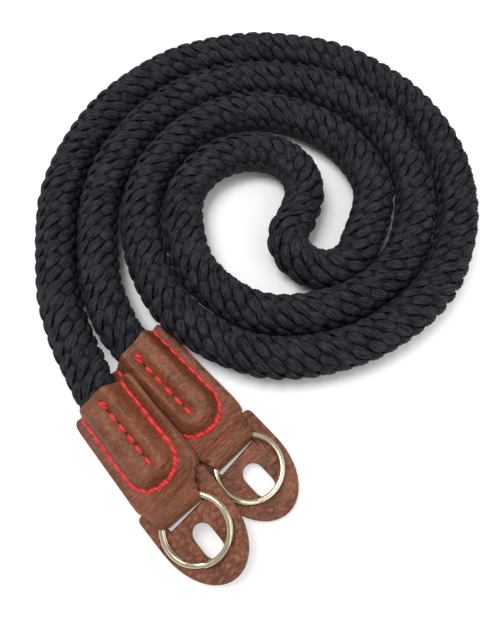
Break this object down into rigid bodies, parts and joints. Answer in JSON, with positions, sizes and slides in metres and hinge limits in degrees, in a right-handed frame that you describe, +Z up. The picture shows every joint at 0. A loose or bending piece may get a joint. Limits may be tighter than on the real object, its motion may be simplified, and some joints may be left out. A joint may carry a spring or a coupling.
{
  "type": "camera strap",
  "caption": "Round braided rope camera strap lying as a flat doubled coil, with sewn leather ends that hold split rings over leather ring guards.",
  "frame": {"origin": "centre of the coiled strap's bounding box, on the surface it lies on", "axes": "+Z up from the surface, +Y from the leather ends towards the far side of the coil, +X to the right in the picture"},
  "size_m": [0.1104, 0.1433, 0.0117],
  "materials": {
    "rope": "matte braided",
    "leather": "satin grained",
    "ring": "polished nickel"
  },
  "bodies": {
    "root": {"rope": "rope", "sleeve_1": "leather", "sleeve_2": "leather", "ring_guard_1": "leather", "ring_guard_2": "leather", "split_ring_1": "ring", "split_ring_2": "ring"}
  },
  "joints": []
}
